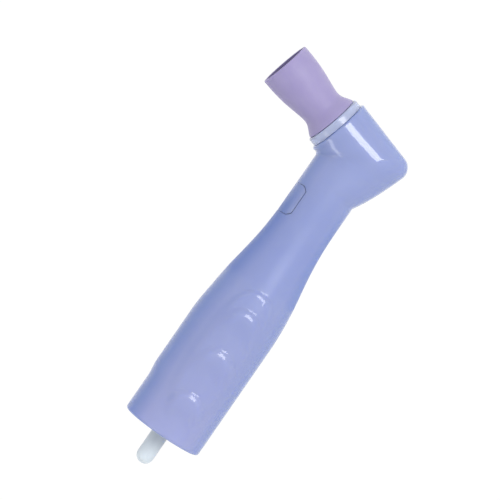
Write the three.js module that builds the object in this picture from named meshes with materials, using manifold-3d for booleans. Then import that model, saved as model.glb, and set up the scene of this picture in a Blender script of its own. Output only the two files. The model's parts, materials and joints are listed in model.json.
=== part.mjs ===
// A disposable contra prophy angle: the throw-away head that turns a soft rubber cup on a slow
// dental handpiece. Millimetres. The handle runs along +X from its rear rim, the cup leans out
// towards +Y, and the angle lies on its side on a table, on its front grip bump and its head.
import * as THREE from 'three';
import { ConvexGeometry } from 'three/addons/geometries/ConvexGeometry.js';
import { ParametricGeometry } from 'three/addons/geometries/ParametricGeometry.js';
import { mergeVertices } from 'three/addons/utils/BufferGeometryUtils.js';
import Module from 'manifold-3d';

const wasm = await Module();
wasm.setup();

// Handle
const sleeveRadius = 5.6; // outside of the sleeve that slides over the handpiece nose
const gripLength = 16.8; // straight part, from the rear rim
const neckRadius = 3.95;
const neckStart = 33; // where the taper has run out
const wall = 1.1;
const rimRound = 0.4;
const swell = 0.22; // finger rest on the cup side of the grip
const swellStart = 6.2;

// Head: its own axis crosses the handle's axis at headPosition
const headPosition = 44.4;
const headTilt = THREE.MathUtils.degToRad(14.4); // forward lean of the cup from square
const headDraft = 0.045; // radius lost per millimetre towards the heel, fore and aft
const headSideDraft = 0.02; // the same on the two flat sides
const headTop = 3.9; // along the cup axis from the crossing
const headShoulder = 0.3;
const heelDepth = 7.28; // lowest point of the heel, below the handle's axis
const heelRound = 1.8;
const heelRampRun = 6.8; // the neck's underside swells down to the heel from here, before the crossing
const heelRampSteep = THREE.MathUtils.degToRad(32.5);
const heelRampFlat = THREE.MathUtils.degToRad(19.2);
const heelSquareness = 0.7;
const crotchRound = 0.5;

// Grip pads and bumps, on both flat sides of the handle
const padMiddle = 12;
const padHalfLength = 10.1;
const padHalfWidth = 3.9;
const padSquareness = 2.5; // power of its superellipse outline
const padRise = 0.22;
const bumpPlaces = [5.7, 12.3, 18.4];
const bumpSize = new THREE.Vector3(1.5, 2, 0.75); // half sizes of the ellipsoid
const bumpRise = 0.35; // above the pad

// Ribs that hold the handpiece nose
const ribCount = 4;
const ribHeight = 0.3;
const ribWidth = 0.8;
const ribStart = 1.5;

// Latch window in the neck
const windowLength = 4.4;
const windowSetback = 1.7; // from the bushing's front end
const windowDrop = 0.25; // its long edge, below the top of the bore
const windowChamfer = 0.5;
const latchGap = 0.12;

// Shaft and its clip-on bushing
const shankRadius = 1.175;
const shankReach = 4.8; // sticks out of the rear rim
const journalRadius = 1.35;
const bushingSetback = 6.2; // its front end, before the crossing
const bushingLength = 7.6;
const bushingSlit = 1.6;
const collarRadius = 1.9;
const collarLength = 1;
const stopRibRadius = 2.5;
const stopRibLength = 1;

// Bevel gears
const pinionTeeth = 8;
const rotorTeeth = 12;
const rotorPitchRadius = 2.85;
const faceWidth = 1.1;
const addendumShare = 0.72; // of the module
const dedendumShare = 1.0;
const backlashShare = 0.16; // of the tooth thickness
const pressureAngle = THREE.MathUtils.degToRad(20);

// Rotor, from the heel pivot up to the button that carries the cup
const pivotRadius = 0.8;
const pivotEnd = -5.8;
const pivotBossRadius = 1.7;
const pivotBossTop = -4.3;
const rotorBack = 2.35;
const hubRadius = 1.9;
const buttonNeckRadius = 1.15;
const buttonNeckLength = 1.1;
const buttonRadius = 1.7;
const buttonLength = 1.2;
const buttonDome = 0.35;

// Cap, washer and seal
const capInset = 0.4; // its edge, in from the head's
const capTop = 5;
const capRound = 0.25;
const rotorRoom = 0.35; // from the rotor's pitch radius out to the mouth it is put in through
const capSkirtWall = 0.55;
const washerThickness = 0.4;
const sealHeight = 0.5;
const sealWidth = 0.5;

// Cup
const cupBaseRadius = 3.6;
const cupWaistRadius = 2.77;
const cupWaistHeight = 1.9; // above the cup's base
const cupRimRadius = 3.45;
const cupHeight = 9.27;
const cupLipWall = 0.5;
const cupFloorWall = 0.65;
const cupFloorRadius = 2.15;
const webCount = 4;
const webThickness = 0.55;
const webReach = 1.25; // from the wall towards the axis
const webDrop = 1.3; // below the rim

// Clearances
const runningGap = 0.05; // radial, for what turns
const seatGap = 0.05; // for what is pressed or laid in place
const cupLift = 0.15; // cup base above the cap

// Facets
const shellSides = 36;
const boreSides = 28;
const roundSides = 32;
const shaftSides = 24;

const pinionCone = Math.atan2(
  Math.cos(headTilt),
  rotorTeeth / pinionTeeth - Math.sin(headTilt),
);
const rotorCone = Math.PI / 2 + headTilt - pinionCone;
const coneDistance = rotorPitchRadius / Math.sin(rotorCone);

const boreRadius = neckRadius - wall;
const windowSill = boreRadius - windowDrop; // above the handle axis
const capSkirtRadius = rotorPitchRadius + rotorRoom;
const headTopRadius = capSkirtRadius + wall;
const capRadius = headTopRadius - capInset;
const heelRampStart = headPosition - heelRampRun;
const bushingEnd = headPosition - bushingSetback;
const bushingStart = bushingEnd - bushingLength;
const windowEnd = bushingEnd - windowSetback;
const windowStart = windowEnd - windowLength;
const shellEnd = 1; // how far cutters run past an open end

// ---------------------------------------------------------------- solids

function solidOf(geometry) {
  const bare = new THREE.BufferGeometry();
  bare.setAttribute('position', geometry.getAttribute('position'));
  bare.setIndex(geometry.getIndex());
  const merged = mergeVertices(bare, 1e-5);
  const corners = merged.getIndex().array;
  const triangles = [];
  for (let i = 0; i < corners.length; i += 3) {
    const [a, b, c] = corners.slice(i, i + 3);
    if (a !== b && b !== c && c !== a) {
      triangles.push(a, b, c);
    }
  }
  return new wasm.Manifold(new wasm.Mesh({
    numProp: 3,
    vertProperties: new Float32Array(merged.getAttribute('position').array),
    triVerts: new Uint32Array(triangles),
  }));
}

function geometryOf(solid) {
  const mesh = solid.getMesh();
  const geometry = new THREE.BufferGeometry();
  geometry.setAttribute('position', new THREE.BufferAttribute(mesh.vertProperties, 3));
  geometry.setIndex(new THREE.BufferAttribute(mesh.triVerts, 1));
  geometry.computeVertexNormals();
  return geometry;
}

function join(solids) {
  return solids.reduce((whole, solid) => whole.add(solid));
}

// A turned solid about +Y from [radius, height] pairs; an open profile is closed along the axis.
function turned(profile, sides) {
  const points = profile.map(([radius, height]) => new THREE.Vector2(radius, height));
  return new THREE.LatheGeometry(points, sides);
}

// A ring's profile closes on itself.
function turnedRing(profile, sides) {
  return turned([...profile, profile[0]], sides);
}

function arcProfile(radius, height, round, from, to, steps) {
  const profile = [];
  for (let i = 0; i <= steps; i += 1) {
    const angle = THREE.MathUtils.lerp(from, to, i / steps);
    profile.push([radius + round * Math.cos(angle), height + round * Math.sin(angle)]);
  }
  return profile;
}

// Turned solids are made about +Y, then laid along the handle or set in the head.
function alongHandle(geometry) {
  return solidOf(geometry.rotateZ(-Math.PI / 2));
}

function inHead(geometry) {
  return solidOf(geometry.rotateZ(-headTilt).translate(headPosition, 0, 0));
}

function boxBetween(low, high) {
  const size = new THREE.Vector3().subVectors(high, low);
  const middle = new THREE.Vector3().addVectors(low, high).multiplyScalar(0.5);
  return new THREE.BoxGeometry(size.x, size.y, size.z).translate(middle.x, middle.y, middle.z);
}

// ---------------------------------------------------------------- the housing's body

// A station is one cross-section: its outer point on the heel side, its inner point on the cup
// side, both in the XY plane, and its half width across them.
function handleStation(x, radius, cupSideSwell = 0) {
  return {
    outer: new THREE.Vector2(x, -radius),
    inner: new THREE.Vector2(x, radius + cupSideSwell),
    halfWidth: radius,
    power: 2,
  };
}

function headPoint(across, height) {
  const point = new THREE.Vector2(across, height);
  point.rotateAround(new THREE.Vector2(), -headTilt);
  point.x += headPosition;
  return point;
}

function headRadiusAt(height) {
  return headTopRadius - headDraft * (headTop - height);
}

function headStation(height, radius) {
  return {
    outer: headPoint(radius, height),
    inner: headPoint(-radius, height),
    halfWidth: radius,
    power: 2,
  };
}

function sleeveStations() {
  const stations = [];
  const swellEnd = gripLength - 1;
  for (const [x, share] of [[swellStart - 1, 0], [swellStart, 0.5], [swellStart + 1, 1], [swellEnd, 1]]) {
    stations.push(handleStation(x, sleeveRadius, swell * share));
  }
  const run = neckStart - gripLength;
  const drop = sleeveRadius - neckRadius;
  const taper = new THREE.CubicBezierCurve(
    new THREE.Vector2(gripLength, sleeveRadius),
    new THREE.Vector2(gripLength + 0.42 * run, sleeveRadius - 0.06 * drop),
    new THREE.Vector2(gripLength + 0.555 * run, neckRadius + 0.06 * drop),
    new THREE.Vector2(neckStart, neckRadius),
  );
  const steps = 10;
  for (let i = 0; i <= steps; i += 1) {
    const { x, y } = taper.getPoint(i / steps);
    const fade = Math.max(0, 1 - i / 2);
    stations.push(handleStation(x, y, swell * fade * 0.8));
  }
  return stations;
}

// The crotch is rounded about a pivot, and every elbow section lies in a plane through it.
function crotchPivot() {
  const sideAngle = Math.PI / 2 - headTilt;
  const neckLine = neckRadius;
  let height = 0;
  for (let i = 0; i < 8; i += 1) {
    const error = headPoint(-headRadiusAt(height), height).y - neckLine;
    height -= error / Math.cos(headTilt);
  }
  const corner = headPoint(-headRadiusAt(height), height);
  return new THREE.Vector2(
    corner.x - crotchRound * Math.tan(sideAngle / 2),
    neckLine + crotchRound,
  );
}

// Heel side of the elbow: down the ramp, round the heel, up the far side of the head.
function heelCurves(topHeight) {
  const top = headPoint(headRadiusAt(topHeight), topHeight);
  const low = headPoint(headRadiusAt(0), 0);
  const upward = new THREE.Vector2().subVectors(top, low).normalize();
  const outward = new THREE.Vector2(upward.y, -upward.x);
  const centre = low.clone().addScaledVector(outward, -heelRound);
  centre.addScaledVector(upward, (heelRound - heelDepth - centre.y) / upward.y);
  const from = -Math.PI / 2 - heelRampFlat;
  const to = Math.atan2(outward.y, outward.x);
  const start = new THREE.Vector2(heelRampStart, -neckRadius);
  const rampEnd = centre.clone().add(
    new THREE.Vector2(Math.cos(from), Math.sin(from)).multiplyScalar(heelRound),
  );
  const steep = Math.tan(heelRampSteep);
  const flat = Math.tan(heelRampFlat);
  const run = rampEnd.x - start.x;
  const bend = (start.y - rampEnd.y - flat * run) / (steep - flat);
  const middle = new THREE.Vector2(start.x + bend, start.y - steep * bend);
  const ramp = new THREE.QuadraticBezierCurve(start, middle, rampEnd);
  const rest = new THREE.Path();
  rest.absarc(centre.x, centre.y, heelRound, from, to, false);
  rest.lineTo(top.x, top.y);
  return { ramp, rest };
}

// Up to the crotch the sections are square to the handle; from there they fan about the pivot.
function elbowStations() {
  const pivot = crotchPivot();
  const sideAngle = Math.PI / 2 - headTilt;
  const crotchEnd = pivot.clone().add(new THREE.Vector2(Math.sin(sideAngle), -Math.cos(sideAngle))
    .multiplyScalar(crotchRound));
  const topHeight = crotchEnd.clone().sub(new THREE.Vector2(headPosition, 0))
    .rotateAround(new THREE.Vector2(), headTilt).y;
  const { ramp, rest } = heelCurves(topHeight);
  const heelPoints = [...ramp.getSpacedPoints(8), ...rest.getSpacedPoints(9).slice(1)];
  const fan = heelPoints.filter(({ x }) => x > pivot.x).length;
  return heelPoints.map((outer, i) => {
    const share = Math.max(0, (i - heelPoints.length + fan) / fan);
    const sideWidth = headTopRadius - headSideDraft * (headTop - topHeight * share);
    const towards = new THREE.Vector2().subVectors(outer, pivot).normalize();
    const inner = outer.x > pivot.x
      ? pivot.clone().addScaledVector(towards, crotchRound)
      : new THREE.Vector2(outer.x, neckRadius);
    return {
      outer,
      inner,
      halfWidth: THREE.MathUtils.lerp(neckRadius, sideWidth, Math.min(1, share * 2)),
      power: 2 + heelSquareness * Math.sin(Math.PI * share) ** 2,
    };
  });
}

// A sine or cosine drawn out so that a circle becomes a superellipse of this power.
function squared(value, power) {
  return Math.sign(value) * Math.abs(value) ** (2 / power);
}

function ringAt(station, inset, sides) {
  const { outer, inner, halfWidth, power } = station;
  const middle = new THREE.Vector2().addVectors(outer, inner).multiplyScalar(0.5);
  const reach = outer.distanceTo(inner) / 2 - inset;
  const heelward = new THREE.Vector2().subVectors(outer, inner).normalize();
  const ring = [];
  for (let i = 0; i < sides; i += 1) {
    const angle = (i / sides) * 2 * Math.PI;
    const point = middle.clone().addScaledVector(heelward, reach * squared(Math.cos(angle), power));
    ring.push(new THREE.Vector3(point.x, point.y, (halfWidth - inset) * squared(Math.sin(angle), power)));
  }
  return ring;
}

// A closed skin through the rings, with both ends drawn in to their middles.
function loft(rings) {
  const middles = [rings[0], rings.at(-1)].map((ring) => (
    ring.reduce((sum, point) => sum.add(point), new THREE.Vector3()).divideScalar(ring.length)
  ));
  const rows = [rings[0].map(() => middles[0]), ...rings, rings.at(-1).map(() => middles[1])];
  const skin = new ParametricGeometry((u, v, target) => {
    const row = rows[Math.round(v * (rows.length - 1))];
    target.copy(row[(row.length - Math.round(u * row.length)) % row.length]);
  }, rings[0].length, rows.length - 1);
  return solidOf(skin);
}

function outerBody(rise = 0) {
  const rim = arcProfile(sleeveRadius - rimRound, rimRound, rimRound, -Math.PI / 2, 0, 3);
  const shoulder = headTopRadius - headShoulder;
  const cheek = arcProfile(shoulder, headTop - headShoulder, headShoulder, 0, Math.PI / 2, 3);
  const stations = [
    ...rim.map(([radius, x]) => handleStation(x, radius)),
    ...sleeveStations(),
    ...elbowStations(),
    ...cheek.map(([radius, height]) => headStation(height, radius)),
  ];
  return loft(stations.map((station) => ringAt(station, -rise, shellSides)));
}

function innerBody() {
  const stations = [
    handleStation(-shellEnd, sleeveRadius),
    ...sleeveStations(),
    ...elbowStations(),
    headStation(headTop + shellEnd, capSkirtRadius + seatGap + wall),
  ];
  return loft(stations.map((station) => ringAt(station, wall, boreSides)));
}

// ---------------------------------------------------------------- housing features

function extrudeAcross(shape, halfWidth) {
  const prism = new THREE.ExtrudeGeometry(shape, {
    depth: 2 * halfWidth,
    bevelEnabled: false,
    curveSegments: 12,
  });
  return solidOf(prism.translate(0, 0, -halfWidth));
}

function gripPads() {
  const corners = [];
  for (let i = 0; i < roundSides; i += 1) {
    const angle = (i / roundSides) * 2 * Math.PI;
    corners.push(new THREE.Vector2(
      padMiddle + padHalfLength * squared(Math.cos(angle), padSquareness),
      padHalfWidth * squared(Math.sin(angle), padSquareness),
    ));
  }
  const outline = new THREE.Shape(corners);
  return outerBody(padRise).intersect(extrudeAcross(outline, sleeveRadius + 1));
}

function padSurface(x) {
  const taper = sleeveStations().map(({ outer }) => outer);
  const next = taper.findIndex((point) => point.x >= x);
  if (next < 1) {
    return sleeveRadius + padRise;
  }
  const [before, after] = [taper[next - 1], taper[next]];
  const share = (x - before.x) / (after.x - before.x);
  return padRise - THREE.MathUtils.lerp(before.y, after.y, share);
}

function gripBumps() {
  const bumps = [];
  for (const side of [-1, 1]) {
    for (const x of bumpPlaces) {
      const bump = new THREE.SphereGeometry(1, 14, 8);
      bump.scale(bumpSize.x, bumpSize.y, bumpSize.z);
      bump.translate(x, 0, side * (padSurface(x) + bumpRise - bumpSize.z));
      bumps.push(solidOf(bump));
    }
  }
  return join(bumps);
}

function noseRibs() {
  const inside = sleeveRadius - wall;
  const ribs = [];
  for (let i = 0; i < ribCount; i += 1) {
    const rib = boxBetween(
      new THREE.Vector3(ribStart, inside - ribHeight, -ribWidth / 2),
      new THREE.Vector3(gripLength, inside + wall / 2, ribWidth / 2),
    );
    ribs.push(solidOf(rib.rotateX(((i + 0.5) / ribCount) * 2 * Math.PI)));
  }
  return join(ribs);
}

// The bore that the bushing is pressed into, up to the stop rib.
function neckBore() {
  return alongHandle(turned([
    [0, bushingStart - shellEnd],
    [boreRadius, bushingStart - shellEnd],
    [boreRadius, bushingEnd + seatGap],
    [0, bushingEnd + seatGap],
  ], roundSides));
}

function stopRib() {
  const start = bushingEnd + seatGap;
  return alongHandle(turnedRing([
    [stopRibRadius, start],
    [boreRadius + wall / 2, start],
    [boreRadius + wall / 2, start + stopRibLength],
    [stopRibRadius, start + stopRibLength],
  ], roundSides));
}

function windowOutline(gap) {
  const left = windowStart + gap;
  const right = windowEnd - gap;
  const sill = windowSill + gap;
  const top = neckRadius + 1;
  return new THREE.Shape([
    new THREE.Vector2(left, top),
    new THREE.Vector2(left, sill + windowChamfer),
    new THREE.Vector2(left + windowChamfer, sill),
    new THREE.Vector2(right - windowChamfer, sill),
    new THREE.Vector2(right, sill + windowChamfer),
    new THREE.Vector2(right, top),
  ]);
}

// The boss in the heel that the rotor's lower end turns in.
function pivotBoss() {
  return inHead(turned([
    [0, pivotEnd - wall],
    [pivotBossRadius, pivotEnd - wall],
    [pivotBossRadius, pivotBossTop],
    [0, pivotBossTop],
  ], roundSides));
}

function pivotHole() {
  const radius = pivotRadius + runningGap;
  return inHead(turned([
    [0, pivotEnd - 2 * seatGap],
    [radius, pivotEnd - 2 * seatGap],
    [radius, pivotBossTop + seatGap],
    [0, pivotBossTop + seatGap],
  ], roundSides));
}

function headMouth() {
  const radius = capSkirtRadius + seatGap;
  return inHead(turned([
    [0, rotorBack - washerThickness],
    [radius, rotorBack - washerThickness],
    [radius, headTop + shellEnd],
    [0, headTop + shellEnd],
  ], roundSides));
}

function makeHousing() {
  const outside = join([outerBody(), gripPads(), gripBumps()]);
  const hollow = innerBody();
  const inside = join([noseRibs(), stopRib(), pivotBoss().intersect(outside)]);
  const shell = outside.subtract(hollow).add(inside);
  return shell
    .subtract(extrudeAcross(windowOutline(0), neckRadius))
    .subtract(neckBore())
    .subtract(pivotHole())
    .subtract(headMouth());
}

// ---------------------------------------------------------------- gears

// Bevel teeth about +Y with their apex at the origin. Every edge runs to the apex.
function bevelTeeth(count, cone, turn) {
  const module = (2 * coneDistance * Math.sin(cone)) / count;
  const levels = [-dedendumShare - 0.12, -dedendumShare / 2, 0, addendumShare];
  const toe = (coneDistance - faceWidth) / coneDistance;
  const teeth = [];
  for (let i = 0; i < count; i += 1) {
    const corners = [];
    for (const level of levels) {
      const height = level * module;
      const lean = Math.atan2(height, coneDistance);
      const distance = coneDistance / Math.cos(lean);
      const radius = distance * Math.sin(cone + lean);
      const axial = distance * Math.cos(cone + lean);
      const thickness = (Math.PI * module / 2) * (1 - backlashShare) - 2 * height * Math.tan(pressureAngle);
      for (const side of [-1, 1]) {
        const angle = turn + (i / count) * 2 * Math.PI + (side * thickness) / (2 * radius);
        const corner = new THREE.Vector3(radius * Math.cos(angle), axial, radius * Math.sin(angle));
        corners.push(corner, corner.clone().multiplyScalar(toe));
      }
    }
    teeth.push(new ConvexGeometry(corners));
  }
  return teeth;
}

// Profile of the cone under the teeth, from the toe to the back of the gear.
function rootCone(count, cone) {
  const module = (2 * coneDistance * Math.sin(cone)) / count;
  const lean = Math.atan2(-dedendumShare * module, coneDistance);
  const distance = coneDistance / Math.cos(lean);
  const heel = [distance * Math.sin(cone + lean), distance * Math.cos(cone + lean)];
  const toe = heel.map((value) => value * (coneDistance - faceWidth) / coneDistance);
  return { heel, toe };
}

function makeDriveShaft() {
  const { heel, toe } = rootCone(pinionTeeth, pinionCone);
  const front = headPosition - toe[1];
  const pinionBack = headPosition - heel[1] - 0.6;
  const collarEnd = bushingStart - runningGap;
  const tail = arcProfile(0, shankRadius - shankReach, shankRadius, -Math.PI / 2, 0, 7);
  const shaft = alongHandle(turned([
    ...tail,
    [shankRadius, collarEnd - collarLength - 0.4],
    [collarRadius, collarEnd - collarLength],
    [collarRadius, collarEnd],
    [journalRadius, collarEnd],
    [journalRadius, bushingEnd + runningGap],
    [heel[0], bushingEnd + runningGap + stopRibLength / 2],
    [heel[0], pinionBack + 0.6],
    [toe[0], front],
    [0, front],
  ], shaftSides));
  const teeth = bevelTeeth(pinionTeeth, pinionCone, 0).map((tooth) => (
    solidOf(tooth.rotateZ(Math.PI / 2).translate(headPosition, 0, 0))
  ));
  return join([shaft, ...teeth]);
}

function makeRotor() {
  const { heel, toe } = rootCone(rotorTeeth, rotorCone);
  const hubTop = capTop + cupLift - seatGap;
  const neckTop = hubTop + buttonNeckLength;
  const buttonTop = neckTop + buttonLength;
  const spindle = inHead(turned([
    [0, pivotEnd],
    [pivotRadius, pivotEnd],
    [pivotRadius, toe[1]],
    [toe[0], toe[1]],
    [heel[0], heel[1]],
    [heel[0], rotorBack],
    [hubRadius, rotorBack],
    [hubRadius, hubTop],
    [buttonNeckRadius, hubTop],
    [buttonNeckRadius, neckTop],
    [buttonRadius, neckTop],
    [buttonRadius, buttonTop],
    [buttonRadius - buttonDome, buttonTop + buttonDome],
    [0, buttonTop + buttonDome],
  ], roundSides));
  const teeth = bevelTeeth(rotorTeeth, rotorCone, Math.PI / rotorTeeth).map((tooth) => inHead(tooth));
  return join([spindle, ...teeth]);
}

// ---------------------------------------------------------------- the other pieces

// A clip that snaps onto the journal; its tab fills the window in the neck.
function makeBushing() {
  const radius = boreRadius - seatGap;
  const bore = journalRadius + runningGap;
  const tube = alongHandle(turnedRing([
    [bore, bushingStart],
    [radius, bushingStart],
    [radius, bushingEnd],
    [bore, bushingEnd],
  ], roundSides));
  const slit = solidOf(boxBetween(
    new THREE.Vector3(bushingStart - 1, -radius - 1, -bushingSlit / 2),
    new THREE.Vector3(bushingEnd + 1, 0, bushingSlit / 2),
  ));
  const neck = alongHandle(turned([
    [0, windowStart],
    [neckRadius, windowStart],
    [neckRadius, windowEnd],
    [0, windowEnd],
  ], shellSides));
  const tab = extrudeAcross(windowOutline(latchGap), neckRadius).intersect(neck);
  return tube.subtract(slit).add(tab.subtract(journalCore(bore)));
}

function journalCore(radius) {
  return alongHandle(turned([
    [0, bushingStart - 1],
    [radius, bushingStart - 1],
    [radius, bushingEnd + 1],
    [0, bushingEnd + 1],
  ], roundSides));
}

function makeWasher() {
  const low = rotorBack + seatGap;
  const high = low + washerThickness;
  const inner = hubRadius + runningGap;
  const outer = capSkirtRadius - capSkirtWall / 2;
  return inHead(turnedRing([[inner, low], [outer, low], [outer, high], [inner, high]], roundSides));
}

function makeCap() {
  const flange = headTop + seatGap;
  const skirtEnd = rotorBack + washerThickness + 2 * seatGap;
  const bore = hubRadius + runningGap;
  const counterbore = bore + sealWidth + seatGap;
  const floor = capTop - sealHeight - 2 * seatGap;
  return inHead(turnedRing([
    [bore, skirtEnd],
    [capSkirtRadius, skirtEnd],
    [capSkirtRadius, flange],
    [capRadius, flange],
    ...arcProfile(capRadius - capRound, capTop - capRound, capRound, 0, Math.PI / 2, 3),
    [counterbore, capTop],
    [counterbore, floor],
    [bore, floor],
  ], roundSides));
}

function makeSeal() {
  const middle = hubRadius + runningGap + sealWidth / 2;
  const height = capTop - seatGap - sealHeight / 2;
  return inHead(turnedRing(arcProfile(middle, height, sealWidth / 2, 0, 1.75 * Math.PI, 7), roundSides));
}

function cupOutside() {
  const base = capTop + cupLift;
  const rim = base + cupHeight;
  const waist = base + cupWaistHeight;
  const flare = new THREE.CubicBezierCurve(
    new THREE.Vector2(cupWaistRadius, waist),
    new THREE.Vector2(cupWaistRadius + 0.05, waist + 1.4),
    new THREE.Vector2(cupRimRadius - 0.02, rim - 4.2),
    new THREE.Vector2(cupRimRadius, rim - 1.2),
  );
  return [
    [cupBaseRadius, base],
    [cupBaseRadius - 0.02, base + 0.2],
    [THREE.MathUtils.lerp(cupBaseRadius, cupWaistRadius, 0.48), base + 0.42 * cupWaistHeight],
    [THREE.MathUtils.lerp(cupBaseRadius, cupWaistRadius, 0.9), base + 0.82 * cupWaistHeight],
    ...flare.getPoints(8).map(({ x, y }) => [x, y]),
    [cupRimRadius, rim],
  ];
}

function cupHollow() {
  const rim = capTop + cupLift + cupHeight;
  const floor = capTop + cupLift + buttonNeckLength + buttonLength + buttonDome + cupFloorWall;
  return [
    [0, floor],
    [cupFloorRadius - 0.5, floor],
    [cupFloorRadius, floor + 0.5],
    [cupRimRadius - cupLipWall, rim],
  ];
}

function cupSocket() {
  const base = capTop + cupLift;
  const neckTop = base + buttonNeckLength - 2 * seatGap;
  const buttonTop = base + buttonNeckLength + buttonLength;
  return inHead(turned([
    [0, base - 1],
    [buttonNeckRadius + seatGap, base - 1],
    [buttonNeckRadius + seatGap, neckTop],
    [buttonRadius + seatGap, neckTop],
    [buttonRadius + seatGap, buttonTop],
    [buttonRadius - buttonDome + seatGap, buttonTop + buttonDome],
    [0, buttonTop + buttonDome],
  ], roundSides));
}

function cupWebs() {
  const hollow = cupHollow();
  const floor = hollow[0][1];
  const top = hollow.at(-1)[1] - webDrop;
  const webs = [];
  for (let i = 0; i < webCount; i += 1) {
    const web = boxBetween(
      new THREE.Vector3(cupRimRadius - cupLipWall - webReach, floor - 0.1, -webThickness / 2),
      new THREE.Vector3(cupRimRadius - cupLipWall / 2, top, webThickness / 2),
    );
    webs.push(inHead(web.rotateY(((i + 0.5) / webCount) * 2 * Math.PI)));
  }
  return join(webs);
}

function makeCup() {
  const outline = cupOutside();
  const base = outline[0][1];
  const rim = outline.at(-1)[1];
  const body = inHead(turned([[0, base], ...outline, [0, rim]], roundSides));
  const hollow = inHead(turned([...cupHollow(), [cupRimRadius - cupLipWall, rim + 1], [0, rim + 1]], roundSides));
  return body.subtract(hollow).add(cupWebs().intersect(body)).subtract(cupSocket());
}

// ---------------------------------------------------------------- materials

function plastic(colour, roughness, opacity = 1) {
  return new THREE.MeshStandardMaterial({
    color: colour,
    roughness,
    metalness: 0,
    opacity,
    transparent: opacity < 1,
  });
}

const bluePlastic = plastic(0x9da8d6, 0.35, 0.85);
const clearPlastic = plastic(0xc3cbe8, 0.25, 0.6);
const naturalPlastic = plastic(0xd3dbe2, 0.4);
const gearPlastic = plastic(0xe4e6ea, 0.45);
const sealRubber = plastic(0xb9bec9, 0.6);
const cupRubber = plastic(0xa79fce, 0.55);

// ---------------------------------------------------------------- assembly

const pieces = [
  ['housing', makeHousing(), bluePlastic],
  ['shaft_bushing', makeBushing(), bluePlastic],
  ['drive_shaft', makeDriveShaft(), naturalPlastic],
  ['rotor', makeRotor(), gearPlastic],
  ['thrust_washer', makeWasher(), naturalPlastic],
  ['head_cap', makeCap(), clearPlastic],
  ['seal_ring', makeSeal(), sealRubber],
  ['prophy_cup', makeCup(), cupRubber],
];

const angle = new THREE.Group();
for (const [name, solid, material] of pieces) {
  const mesh = new THREE.Mesh(geometryOf(solid), material);
  mesh.name = name;
  angle.add(mesh);
}

// The way down for an angle that lies on a grip bump, the edge of its head and the side of its heel.
function restingDown() {
  const places = angle.getObjectByName('housing').geometry.getAttribute('position');
  const points = [];
  for (let i = 0; i < places.count; i += 1) {
    points.push(new THREE.Vector3().fromBufferAttribute(places, i));
  }
  const zones = [
    points.filter(({ x }) => x < neckStart),
    points.filter(({ x, y }) => x > heelRampStart && y > headTop / 2),
    points.filter(({ x, y }) => x > heelRampStart && y <= headTop / 2),
  ];
  const down = new THREE.Vector3(0, 0, -1);
  for (let i = 0; i < 10; i += 1) {
    const [grip, edge, heel] = zones.map((zone) => (
      zone.reduce((lowest, point) => (point.dot(down) > lowest.dot(down) ? point : lowest))
    ));
    down.crossVectors(edge.clone().sub(grip), heel.clone().sub(grip)).normalize();
  }
  return down;
}

const up = restingDown().negate();
const forward = new THREE.Vector3(1, 0, 0).projectOnPlane(up).normalize();
const across = new THREE.Vector3().crossVectors(up, forward);
angle.quaternion.setFromRotationMatrix(new THREE.Matrix4().makeBasis(forward, across, up).transpose());

const model = new THREE.Group();
model.add(angle);

// The origin is on the table, under the middle of the whole.
const bounds = new THREE.Box3().setFromObject(model, true);
const middle = bounds.getCenter(new THREE.Vector3());
angle.position.set(-middle.x, -middle.y, -bounds.min.z);

export default model;
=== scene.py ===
import json
import math

import bmesh
import bpy
from mathutils import Matrix, Vector


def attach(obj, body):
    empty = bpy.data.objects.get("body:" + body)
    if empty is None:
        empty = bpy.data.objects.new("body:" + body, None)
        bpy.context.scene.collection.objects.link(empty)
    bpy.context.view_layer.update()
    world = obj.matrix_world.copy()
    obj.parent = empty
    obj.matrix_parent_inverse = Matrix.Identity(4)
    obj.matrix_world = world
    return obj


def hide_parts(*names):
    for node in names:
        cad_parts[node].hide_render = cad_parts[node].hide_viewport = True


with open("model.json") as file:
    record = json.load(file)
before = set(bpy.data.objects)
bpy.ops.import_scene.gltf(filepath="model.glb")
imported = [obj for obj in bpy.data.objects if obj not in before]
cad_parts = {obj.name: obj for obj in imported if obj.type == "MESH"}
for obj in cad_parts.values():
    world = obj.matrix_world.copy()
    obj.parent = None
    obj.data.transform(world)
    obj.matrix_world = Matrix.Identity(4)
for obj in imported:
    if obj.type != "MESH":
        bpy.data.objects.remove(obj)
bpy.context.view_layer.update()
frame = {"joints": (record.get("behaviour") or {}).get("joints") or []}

# All sizes are in millimetres, in the angle's own frame: +X along the handle from its rear rim,
# +Y the side the cup leans out to, Z across the plane that both axes lie in.
MM = 0.001
TURN = 2 * math.pi

# Handle
SLEEVE_RADIUS = 5.6
GRIP_LENGTH = 16.8
NECK_RADIUS = 3.95
NECK_START = 33
WALL = 1.1
RIM_ROUND = 0.4
SWELL = 0.22
SWELL_START = 6.2

# Head
HEAD_POSITION = 44.4
HEAD_TILT = math.radians(14.4)
HEAD_TOP_RADIUS = 4.285
HEAD_DRAFT = 0.045
HEAD_SIDE_DRAFT = 0.02
HEAD_TOP = 3.9
HEAD_SHOULDER = 0.3
HEEL_DEPTH = 7.175
HEEL_ROUND = 1.8
HEEL_RAMP_START = 37.6
HEEL_RAMP_STEEP = math.radians(32.5)
HEEL_RAMP_FLAT = math.radians(19.2)
HEEL_SQUARENESS = 0.1
CROTCH_ROUND = 0.5

# Grip
PAD_MIDDLE = 12
PAD_HALF_LENGTH = 10.1
PAD_HALF_WIDTH = 3.9
PAD_SQUARENESS = 2.5
PAD_RISE = 0.22
BUMP_FEET = (6.85, 13.4, 19.45)
BUMP_BOW = 0.233
BUMP_RISE = 0.34

# Nose ribs
RIB_COUNT = 4
RIB_HEIGHT = 0.3
RIB_HALF_WIDTH = 0.4
RIB_START = 1.5

# Latch window
WINDOW_START = 32.1
WINDOW_END = 36.5
WINDOW_SILL = 2.6
WINDOW_CHAMFER = 0.5
LATCH_GAP = 0.045

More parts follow.
